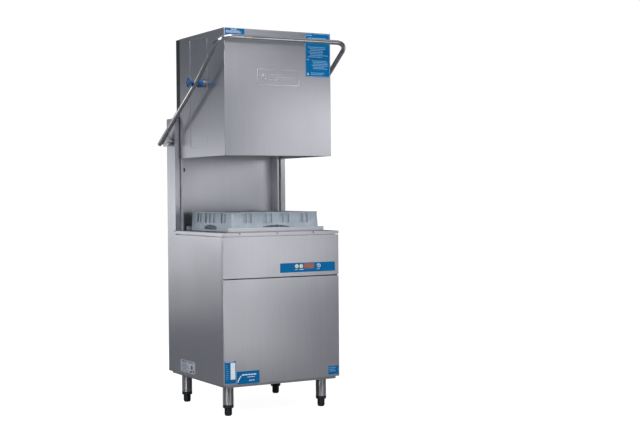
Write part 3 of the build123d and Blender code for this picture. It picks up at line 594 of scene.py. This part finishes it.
PLATE_ROWS = (
    ((-0.185, -0.12), 0.233, 0.0075, 2, 0.0034, 5, 0),
    ((-0.185, -0.09), 0.216, 0.0072, 5, 0.0026, 7, 0),
    ((-0.11, -0.04), 0.232, 0.0075, 1, 0.003, 4, 0),
)
PLATE_BLOCKS = (
    ((-0.066, -0.048), (0.198, 0.216)),
    ((-0.044, -0.03), (0.184, 0.194)),
    ((-0.078, -0.054), (0.182, 0.19)),
)
bm = bmesh.new()
rows(bm, PLATE_ROWS, ON_PLATE, on_side)
for across, tall in PLATE_BLOCKS:
    bar(bm, across, tall, ON_PLATE, on_side)
prism(bm, rounded((-0.1965, -0.0205), (0.1795, 0.2345), 0.001), ON_PLATE, on_side,
      hole=rounded((-0.1955, -0.0215), (0.1805, 0.2335), 0.0005))
piece("rating_plate_print", bm, "dark_ink", "cabinet")


# ------------------------------------------------------------------ control strip
def button_face(node):
    """A placement in the middle of a button's front."""
    low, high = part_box(node)
    return facing(((low.x + high.x) / 2, low.y, (low.z + high.z) / 2), X, Z, -Y)


on_strip = front_face("control_overlay")
MARKS_TOP = 0.7175
bm = bmesh.new()
for name in ("button_program", "button_start", "button_power"):
    low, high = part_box(name)
    middle = (low.x + high.x) / 2
    mark = ((middle - 0.011, middle + 0.013), MARKS_TOP, 0.01, 1, 0.0024, 3, 0)
    rows(bm, (mark,), (0, INK), on_strip)
piece("control_strip_marks", bm, "white_ink", "cabinet")

SMALL_CENTRE = [(0, 0.0006), (0.0044, 0.0005), (0.0056, 0.0001), (0.0058, -0.0004), (0, -0.0004)]
POWER_CENTRE = [(0, 0.0003), (0.0112, 0.0003), (0.0115, 0), (0.0115, -0.0003), (0, -0.0003)]
for name, profile, segments, finish, slot in (
    ("button_program", SMALL_CENTRE, 32, "button_centre", "cream_plastic"),
    ("button_start", SMALL_CENTRE, 32, "button_centre", "cream_plastic"),
    ("button_power", POWER_CENTRE, 40, "blue_film", "blue_film"),
):
    bm = bmesh.new()
    lathe(bm, profile, button_face(name), segments)
    piece(name + "_centre", bm, finish, name)

SYMBOL_RADIUS = 0.0074
SYMBOL_LIFT = 0.0003
SYMBOL_TURNS = [math.radians(28 + 304 * k / 40) for k in range(41)]
on_power = button_face("button_power")
arc = [(SYMBOL_RADIUS * math.sin(t), SYMBOL_RADIUS * math.cos(t), SYMBOL_LIFT) for t in SYMBOL_TURNS]
stroke = [(0, v, SYMBOL_LIFT) for v in (0.001, 0.004, 0.0085)]
bm = bmesh.new()
sweep(bm, [on_power @ Vector(spot) for spot in arc], 0.0013)
sweep(bm, [on_power @ Vector(spot) for spot in stroke], 0.0012)
piece("button_power_symbol", bm, "white_ink", "button_power")

WIDE, TALL, BASE, STROKE, TRIM = 0.0085, 0.016, 0.725, 0.0016, 0.0003
SEGMENTS = {
    "a": (0, WIDE, TALL - STROKE, TALL),
    "b": (WIDE - STROKE, WIDE, TALL / 2, TALL),
    "c": (WIDE - STROKE, WIDE, 0, TALL / 2),
    "d": (0, WIDE, 0, STROKE),
    "e": (0, STROKE, 0, TALL / 2),
    "f": (0, STROKE, TALL / 2, TALL),
    "g": (0, WIDE, (TALL - STROKE) / 2, (TALL + STROKE) / 2),
}
DIGITS = (("abcdef", 0.132), ("acdefg", 0.147), ("abcdef", 0.162))
on_window = front_face("display_board")
bm = bmesh.new()
for lit, left in DIGITS:
    for segment in lit:
        u0, u1, v0, v1 = SEGMENTS[segment]
        across = (left + u0 + TRIM, left + u1 - TRIM)
        bar(bm, across, (BASE + v0 + TRIM, BASE + v1 - TRIM), (0, INK), on_window)
piece("display_digits", bm, "display_segments", "cabinet")

# ------------------------------------------------------------------ dish rack
# One side's wall is a row of columns of points; it leans in by DRAFT at the rim and steps out there by LIP.
# Faces are left out for the windows and the hand hold.
rack_low, rack_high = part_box("rack")
rack_mid = (rack_low + rack_high) / 2
HALF = (rack_high.x - rack_low.x) / 2
CORNER = 0.018
DRAFT = 0.006
WALL = 0.0032
LIP = 0.002
GRIP = 0.074
GRIP_RISE = 0.009
FRONT_WINDOWS = ((-0.186, -0.166), (-0.158, -0.138), (-0.077, -0.053), (-0.045, -0.021),
                 (0.021, 0.045), (0.053, 0.077), (0.138, 0.158), (0.166, 0.186))
SIDE_WINDOWS = ((-0.174, -0.151), (-0.14, -0.115), (-0.074, -0.047), (-0.027, 0.007),
                (0.022, 0.060), (0.118, 0.141), (0.157, 0.18))
LEVELS = [rack_low.z, rack_low.z + 0.008, rack_low.z + 0.024,
          rack_high.z - 0.054, rack_high.z - 0.006, rack_high.z - 0.0025, rack_high.z]
GRIP_BAND, WINDOW_BAND, LIP_LEVEL = 1, 3, 5
Column = namedtuple("Column", "turn along windows arc")


def distinct(values):
    """The values in rising order, each once."""
    return sorted({round(value, 5) for value in values})


def wall_places(windows):
    """Places along a straight side of the rack: the edges of its windows, steps over the hand hold, and
    both ends."""
    edges = [edge for window in windows for edge in window]
    holds = [GRIP * k / 8 for k in range(-8, 9)]
    return distinct(edges + holds + [CORNER - HALF, HALF - CORNER])


def lean_at(z):
    """How far the tapered wall stands in at a height."""
    return DRAFT * (z - rack_low.z) / (rack_high.z - rack_low.z)


def rack_vertex(column, level):
    z = LEVELS[level]
    lean = lean_at(z)
    if column.arc is None:
        point = Vector((column.along, -HALF, 0))
        if level == GRIP_BAND + 1 and abs(column.along) < GRIP:
            z += GRIP_RISE * math.cos(math.pi * column.along / (2 * GRIP))
    else:
        point = Vector((HALF - CORNER + CORNER * math.cos(column.arc),
                        -HALF + CORNER + CORNER * math.sin(column.arc), 0))
    point = point * (1 - lean / HALF)
    lip = LIP if level >= LIP_LEVEL else 0
    point = column.turn @ (point * (1 + lip / HALF))
    return Vector((rack_mid.x + point.x, rack_mid.y + point.y, z))


quarter_turns = [Matrix.Rotation(math.radians(90 * side), 3, "Z") for side in range(4)]
columns = []
for turn, windows in zip(quarter_turns, (FRONT_WINDOWS, SIDE_WINDOWS) * 2):
    columns += [Column(turn, along, windows, None) for along in wall_places(windows)]
    columns += [Column(turn, HALF - CORNER, (), math.radians(18 * step - 90)) for step in range(1, 6)]

bm = bmesh.new()
grid = [[bm.verts.new(rack_vertex(column, level)) for level in range(len(LEVELS))] for column in columns]
for k, column in enumerate(columns):
    n = (k + 1) % len(columns)
    following = columns[n]
    straight = column.arc is None and following.arc is None and following.turn == column.turn
    middle = (column.along + following.along) / 2
    for level in range(len(LEVELS) - 1):
        in_window = level == WINDOW_BAND and any(low < middle < high for low, high in column.windows)
        in_grip = level == GRIP_BAND and abs(middle) < GRIP
        if not (straight and (in_window or in_grip)):
            bm.faces.new((grid[k][level], grid[n][level], grid[n][level + 1], grid[k][level + 1]))
bmesh.ops.recalc_face_normals(bm, faces=bm.faces)
outward = sum(f.normal.dot(f.calc_center_median() - rack_mid) for f in bm.faces)
if outward < 0:
    bmesh.ops.reverse_faces(bm, faces=bm.faces)
bmesh.ops.solidify(bm, geom=bm.faces, thickness=WALL)

# Set-back inner skins behind the windows.
SKIN_BELOW_RIM = 0.058
SKIN_TALL = 0.0535
SKIN_THICK = 0.0016
SKIN_SETBACK = 0.0075
SKIN_END_GAP = 0.008
tilt = math.atan2(DRAFT, rack_high.z - rack_low.z)
skin_base = rack_high.z - SKIN_BELOW_RIM
skin_reach = HALF - CORNER - SKIN_END_GAP
for turn in quarter_turns:
    out, along = turn @ -Y, turn @ X
    origin = rack_mid + out * (HALF - lean_at(skin_base) - WALL - SKIN_SETBACK)
    origin.z = skin_base
    place = facing(origin, along, Z * math.cos(tilt) - out * math.sin(tilt),
                   out * math.cos(tilt) + Z * math.sin(tilt))
    bar(bm, (-skin_reach, skin_reach), (0, SKIN_TALL), (-SKIN_THICK, 0), place)

# Lattice floor.
PITCH = 0.0305
RIB = 0.0045
RIM_BAND = 0.006
INNER = HALF - RIM_BAND
LATTICE_BASE = rack_low.z + 0.0015
LATTICE_THICK = 0.0065
marks = distinct([-INNER, INNER] + [k * PITCH + s * RIB / 2 for k in range(-7, 8) for s in (-1, 1)])


def on_rib(value):
    nearest = round(value / PITCH) * PITCH
    return abs(value - nearest) < RIB / 2 + 1e-6 or abs(abs(value) - INNER) < RIM_BAND


lattice = bmesh.new()
knots = {(i, j): lattice.verts.new((rack_mid.x + u, rack_mid.y + v, LATTICE_BASE))
         for i, u in enumerate(marks) for j, v in enumerate(marks)}
for i in range(len(marks) - 1):
    for j in range(len(marks) - 1):
        if on_rib((marks[i] + marks[i + 1]) / 2) or on_rib((marks[j] + marks[j + 1]) / 2):
            lattice.faces.new((knots[i, j], knots[i + 1, j], knots[i + 1, j + 1], knots[i, j + 1]))
bmesh.ops.delete(lattice, geom=[v for v in lattice.verts if not v.link_faces], context="VERTS")
bmesh.ops.solidify(lattice, geom=lattice.faces, thickness=-LATTICE_THICK)
lattice_mesh = bpy.data.meshes.new("rack_lattice")
lattice.to_mesh(lattice_mesh)
lattice.free()
bm.from_mesh(lattice_mesh)
bpy.data.meshes.remove(lattice_mesh)

PEG = [(0, 0), (0.0046, 0), (0.0042, 0.006), (0.0028, 0.05), (0.0022, 0.0545), (0.0012, 0.0565), (0, 0.057)]
PEG_BASE = rack_low.z + 0.007
for i in range(-6, 7, 2):
    for j in range(-6, 7):
        foot = Matrix.Translation((rack_mid.x + j * PITCH, rack_mid.y + i * PITCH, PEG_BASE))
        lathe(bm, PEG, foot, 10)
piece("dish_rack", bm, "rack_plastic", "rack", stands_for=("rack",))


# ------------------------------------------------------------------ screw heads
def islands(node):
    """The lowest and highest corners of every separate solid in a CAD node."""
    mesh = nodes[node].data
    placed = [nodes[node].matrix_world @ vertex.co for vertex in mesh.vertices]
    index = [tuple(round(value, 5) for value in at) for at in placed]
    spots = {spot: k for k, spot in enumerate(dict.fromkeys(index))}
    group = list(range(len(spots)))

    def root(k):
        while group[k] != k:
            k = group[k]
        return k

    for edge in mesh.edges:
        first, second = (root(spots[index[k]]) for k in edge.vertices)
        group[max(first, second)] = min(first, second)
    found = {}
    for spot, k in spots.items():
        found.setdefault(root(k), []).append(spot)
    return [(Vector(min(c) for c in zip(*solid)), Vector(max(c) for c in zip(*solid)))
            for solid in found.values()]


def cross_head(bm, place, radius):
    """A raised screw head with a cross recess."""
    arm, half = radius * 0.6, radius * 0.16
    between = (arm + half) / 2
    quarter = [(arm, 0), (arm, half), (between, half), (half, half), (half, between), (half, arm)]
    cross = []
    for c, s in ((1, 0), (0, 1), (-1, 0), (0, -1)):
        cross += [(c * u - s * v, s * u + c * v) for u, v in quarter]
    rim = [(math.cos(t), math.sin(t)) for t in angles(len(cross))]
    lathe(bm, [(0, 0.0007), (radius, 0.0007), (radius, 0), (0, 0)], place, 24)
    for share, depth in ((0.98, (0.0006, 0.0012)), (0.86, (0.0011, 0.0018))):
        prism(bm, [(radius * share * u, radius * share * v) for u, v in rim], depth, place, hole=cross)


bm = bmesh.new()
for low, high in islands("panel_screws"):
    middle, wide = (low + high) / 2, high - low
    if wide.x < wide.y:
        out = X if middle.x > 0 else -X
        seat = Vector((low.x if middle.x > 0 else high.x, middle.y, middle.z))
    else:
        out = Y if middle.y > 0 else -Y
        seat = Vector((middle.x, low.y if middle.y > 0 else high.y, middle.z))
    cross_head(bm, axis_place(seat, out), wide.z / 2)
piece("screw_heads", bm, "screw_steel", "cabinet", stands_for=("panel_screws",))

# ------------------------------------------------------------------ counterbalance springs
WIRE = 0.0022
COIL = 0.0096
TURNS = 58
STEPS = 12
SPRING_X = 0.304
PIN_Y, PIN_Z = 0.322, 1.353
EYE = 0.0064
TAIL_ZS = (0.905, 0.918)
COIL_LOW, COIL_HIGH = 0.926, 1.306
NECK_LOW, NECK_HIGH = 1.314, 1.345
for side, name in ((-1, "left_spring"), (1, "right_spring")):
    centre = Vector((side * SPRING_X, PIN_Y, 0))
    wire = [centre + Z * z for z in TAIL_ZS]
    for k in range(TURNS * STEPS + 1):
        t = 2 * math.pi * k / STEPS
        rise = COIL_LOW + (COIL_HIGH - COIL_LOW) * k / (TURNS * STEPS)
        wire.append(centre + Vector((COIL * math.cos(t), COIL * math.sin(t), rise)))
    wire += [centre + Z * (NECK_LOW + 0.003 * k) for k in range(11)]
    eye = [centre + Vector((0, EYE * math.sin(t), PIN_Z + EYE * math.cos(t))) for t in angles(20)]
    bm = bmesh.new()
    sweep(bm, wire, WIRE)
    sweep(bm, eye, WIRE, closed=True)
    made = piece(name, bm, "spring_steel", None, stands_for=("counterbalance_springs",))
    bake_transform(made)


# ------------------------------------------------------------------ wash and rinse jets
def stadium(length, width, steps=8):
    """Outline of a slot with round ends, along local y."""
    reach = (length - width) / 2
    points = []
    for sign in (1, -1):
        for k in range(steps + 1):
            t = math.pi * k / steps
            points.append((sign * width / 2 * math.cos(t), sign * (reach + width / 2 * math.sin(t))))
    return points


WASH_JET, WASH_JET_HOLE = stadium(0.028, 0.0095), stadium(0.0225, 0.0045)
WASH_JET_MIDDLE, WASH_JET_PITCH, WASH_JETS = 0.130, 0.036, 6
WASH_JET_SINK = 0.004
RINSE_JET = [(0, 0), (0.0036, 0), (0.0036, 0.0026), (0.0026, 0.0036), (0.001, 0.0036), (0.0008, 0.0028),
             (0, 0.0028)]
RINSE_JET_LIFT = 0.0052
RINSE_TURN = math.radians(62)
RINSE_REACHES = (0.055, 0.095, 0.135, 0.175, 0.203)
low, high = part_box("lower_wash_arm")
ARM_Y = (low.y + high.y) / 2
for tier, sign in (("lower", 1), ("upper", -1)):
    low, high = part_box(tier + "_wash_arm")
    face = high.z - WASH_JET_SINK if sign > 0 else low.z + WASH_JET_SINK
    bm = bmesh.new()
    for side in (-1, 1):
        for k in range(WASH_JETS):
            x = side * WASH_JET_MIDDLE + (k - (WASH_JETS - 1) / 2) * WASH_JET_PITCH
            place = facing((x, ARM_Y, face), X, Y * sign, Z * sign)
            prism(bm, WASH_JET, (-0.0002, 0.0014), place, hole=WASH_JET_HOLE)
    piece(tier + "_wash_jets", bm, "inner_steel", tier + "_wash_arm")
    low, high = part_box(tier + "_rinse_arm")
    z = (low.z + high.z) / 2 + sign * RINSE_JET_LIFT
    bm = bmesh.new()
    for side in (-1, 1):
        for reach in RINSE_REACHES:
            at = (side * reach * math.cos(RINSE_TURN), ARM_Y + side * reach * math.sin(RINSE_TURN), z)
            lathe(bm, RINSE_JET, axis_place(at, Z * sign), 14)
    piece(tier + "_rinse_jets", bm, "inner_steel", tier + "_rinse_arm")

# ------------------------------------------------------------------ handle ends, collars, feet and switch
HANDLE_END = (0.359, 0.381, 1.3679)
SLOPE = math.radians(31.07)
PLUG = [(0, -0.006), (0.0104, -0.006), (0.0104, -0.0002), (0.0119, 0), (0.0119, 0.0008), (0.0095, 0.0016),
        (0, 0.002)]
bm = bmesh.new()
for side in (-1, 1):
    end = Vector((side * HANDLE_END[0], HANDLE_END[1], HANDLE_END[2]))
    lathe(bm, PLUG, axis_place(end, (0, math.cos(SLOPE), -math.sin(SLOPE))))
piece("handle_end_plugs", bm, "polished_tube", "handle")

COLLAR_BORE = 0.0188
bm = bmesh.new()
for low, high in islands("leg_collars"):
    middle = (low + high) / 2
    rim = (high.x - low.x) / 2 + 0.0001
    skirt = [(COLLAR_BORE, 0.039), (rim - 0.0019, 0.039), (rim, 0.0415), (rim, 0.0555),
             (rim - 0.0007, 0.0563), (COLLAR_BORE, 0.047)]
    lathe(bm, skirt, Matrix.Translation((middle.x, middle.y, 0)), 40)
piece("leg_collar_skirts", bm, "black_plastic", "cabinet")

RIBS = 28
RIB_ACROSS, RIB_TALL, RIB_DEPTH = (-0.0011, 0.0011), (0.008, 0.038), (0.0172, 0.0187)
for corner in ("front_left", "front_right", "rear_left", "rear_right"):
    low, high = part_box("foot_" + corner)
    middle = (low + high) / 2
    bm = bmesh.new()
    for t in angles(RIBS):
        out, along = Vector((math.cos(t), math.sin(t), 0)), Vector((-math.sin(t), math.cos(t), 0))
        bar(bm, RIB_ACROSS, RIB_TALL, RIB_DEPTH, facing((middle.x, middle.y, 0), along, Z, out))
    piece("foot_" + corner + "_ribs", bm, "black_plastic", "foot_" + corner)

# A cable runs down the left column's inner face to the switch body, which carries a round plunger.
SWITCH_X, SWITCH_Y = -0.28, 0.266
SWITCH_CABLE = ((0.0012, 1.298), (0.0012, 1.262), (0.0016, 1.236))
SWITCH_PLUNGER = [(0, 0), (0.0045, 0), (0.0045, 0.003), (0.0035, 0.0042), (0, 0.0042)]
bm = bmesh.new()
sweep(bm, [(SWITCH_X + x, SWITCH_Y, z) for x, z in SWITCH_CABLE], 0.0016)
prism(bm, rounded((-0.008, 0.008), (1.218, 1.240), 0.003), (0, 0.0115),
      facing((SWITCH_X, SWITCH_Y, 0), Y, Z, X))
lathe(bm, SWITCH_PLUNGER, axis_place((SWITCH_X + 0.0112, SWITCH_Y, 1.229), X), 20)
piece("hood_position_switch", bm, "black_plastic", "cabinet")


# ------------------------------------------------------------------ floor
def math_node(tree, operation, *values):
    """A math node over sockets or plain numbers."""
    made = tree.nodes.new("ShaderNodeMath")
    made.operation = operation
    for socket, value in zip(made.inputs, values):
        if isinstance(value, bpy.types.NodeSocket):
            tree.links.new(value, socket)
        else:
            socket.default_value = value
    return made.outputs[0]


PAPER_GREY = 0.25
PAPER_LIFT = 0.95
FLOOR_SIZE = 60
s = Shader("floor_paper")
cloud = s.spread(s.noise(1.5, detail=2), 0, 1)
s.link(s.blend_colours(cloud, grey(PAPER_GREY * 0.98), grey(PAPER_GREY)), s.bsdf.inputs["Base Color"])
s.set(roughness=0.8, specular_ior_level=0.1)
path = s.node("ShaderNodeLightPath")
lift = s.node("ShaderNodeEmission")
s.link(math_node(s.tree, "MULTIPLY", path.outputs["Is Camera Ray"], PAPER_LIFT), lift.inputs["Strength"])
both = s.node("ShaderNodeAddShader")
s.link(s.bsdf.outputs["BSDF"], both.inputs[0])
s.link(lift.outputs["Emission"], both.inputs[1])
s.link(both.outputs["Shader"], s.tree.nodes["Material Output"].inputs["Surface"])
bpy.ops.mesh.primitive_plane_add(size=FLOOR_SIZE, location=(0, 0, 0))
floor = bpy.context.object
floor.name = "floor"
floor.data.materials.append(s.material)
floor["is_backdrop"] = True

# ------------------------------------------------------------------ studio walls
# Grey levels of the studio from straight down (0) to straight up (1).
STUDIO_WALLS = ((0.0, 0.12), (0.45, 0.12), (0.49, 0.28), (0.51, 0.28),
                (0.535, 0.1), (0.7, 0.15), (0.85, 0.5), (1.0, 0.6))
STUDIO_TINT = (0.88, 0.98, 1.18, 1)
BACKDROP = (1.05, 1.05, 1.05, 1)
world = bpy.data.worlds.new("studio")
bpy.context.scene.world = world
world.use_nodes = True
sky = world.node_tree
where = sky.nodes.new("ShaderNodeTexCoord")
parts = sky.nodes.new("ShaderNodeSeparateXYZ")
sky.links.new(where.outputs["Generated"], parts.inputs["Vector"])
height = math_node(sky, "MULTIPLY_ADD", parts.outputs["Z"], 0.5, 0.5)
walls = sky.nodes.new("ShaderNodeValToRGB")
stops = walls.color_ramp.elements
while len(stops) < len(STUDIO_WALLS):
    stops.new(0.5)
for stop, (place, tone) in zip(stops, STUDIO_WALLS):
    stop.position = place
    stop.color = (tone, tone, tone, 1)
sky.links.new(height, walls.inputs["Fac"])
tint = sky.nodes.new("ShaderNodeMix")
tint.data_type = "RGBA"
tint.blend_type = "MULTIPLY"
tint.inputs["Factor"].default_value = 1.0
tint.inputs[MIX_SECOND].default_value = STUDIO_TINT
sky.links.new(walls.outputs["Color"], tint.inputs[MIX_FIRST])
backdrop = sky.nodes.new("ShaderNodeMix")
backdrop.data_type = "RGBA"
backdrop.inputs[MIX_SECOND].default_value = BACKDROP
seen = sky.nodes.new("ShaderNodeLightPath")
sky.links.new(seen.outputs["Is Camera Ray"], backdrop.inputs["Factor"])
sky.links.new(tint.outputs[MIX_RESULT], backdrop.inputs[MIX_FIRST])
sky.links.new(backdrop.outputs[MIX_RESULT], sky.nodes["Background"].inputs["Color"])
sky.nodes["Background"].inputs["Strength"].default_value = 1.0
bpy.context.scene.view_settings.view_transform = "Standard"


# ------------------------------------------------------------------ lights
def softbox(name, at, aim, size, radiance):
    """A rectangular soft light at a point, facing another point, with a given brightness of its face."""
    lamp = bpy.data.lights.new(name, "AREA")
    lamp.shape = "RECTANGLE"
    lamp.size, lamp.size_y = size
    lamp.energy = radiance * math.pi * size[0] * size[1]
    holder = bpy.data.objects.new(name, lamp)
    toward = (Vector(aim) - Vector(at)).normalized()
    across = toward.cross(Z).normalized()
    holder.matrix_world = facing(at, across, across.cross(toward), -toward)
    bpy.context.scene.collection.objects.link(holder)


softbox("overhead", (-0.6, -3.0, 4.2), (0, 0, 1.0), (3.0, 3.0), 4.0)
softbox("left_key", (-3.4, -1.6, 2.8), (0, 0, 1.0), (1.6, 1.6), 5.2)
softbox("left_strip_low", (-2.9, -2.6, 0.5), (0, 0, 0.5), (0.4, 1.0), 10.5)
softbox("left_strip_high", (-2.9, -2.6, 1.6), (0, 0, 1.6), (0.4, 1.2), 4.5)
softbox("left_arm_strip", (-2.2, 1.98, 1.0), (0, 0, 1.0), (0.6, 0.4), 4.0)
softbox("front_low", (0.42, -2.0, 0.31), (0.42, 0, 0.31), (0.54, 0.6), 1.6)
softbox("front_middle", (0.7, -2.0, 0.8), (0.7, 0, 0.8), (0.96, 0.5), 1.45)
softbox("front_column", (0.68, -2.0, 1.16), (0.68, 0, 1.16), (0.34, 0.22), 1.9)
softbox("front_high", (1.35, -2.0, 1.54), (1.35, 0, 1.54), (1.2, 0.54), 1.6)
softbox("front_high_left", (0.42, -2.0, 2.02), (0.42, 0, 2.02), (0.34, 0.4), 2.3)
softbox("left_low", (-2.2, 4.0, 0.3), (0, 0, 0.3), (2.2, 0.5), 0.58)
softbox("left_high", (-2.2, 3.75, 1.0), (0, 0, 1.0), (1.9, 1.08), 0.88)
softbox("left_high_front", (-2.2, 2.8, 1.64), (0, 0, 1.64), (0.5, 0.5), 0.95)
softbox("right_card", (2.4, 0.65, 1.0), (0, 0.65, 1.0), (1.9, 2.2), 0.55)
softbox("rear_card", (0.5, 2.6, 1.0), (0.5, 0, 1.0), (1.8, 2.2), 0.55)
softbox("left_forward", (-2.2, 1.9, 1.9), (0, 0, 1.9), (0.7, 1.2), 0.22)

low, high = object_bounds()
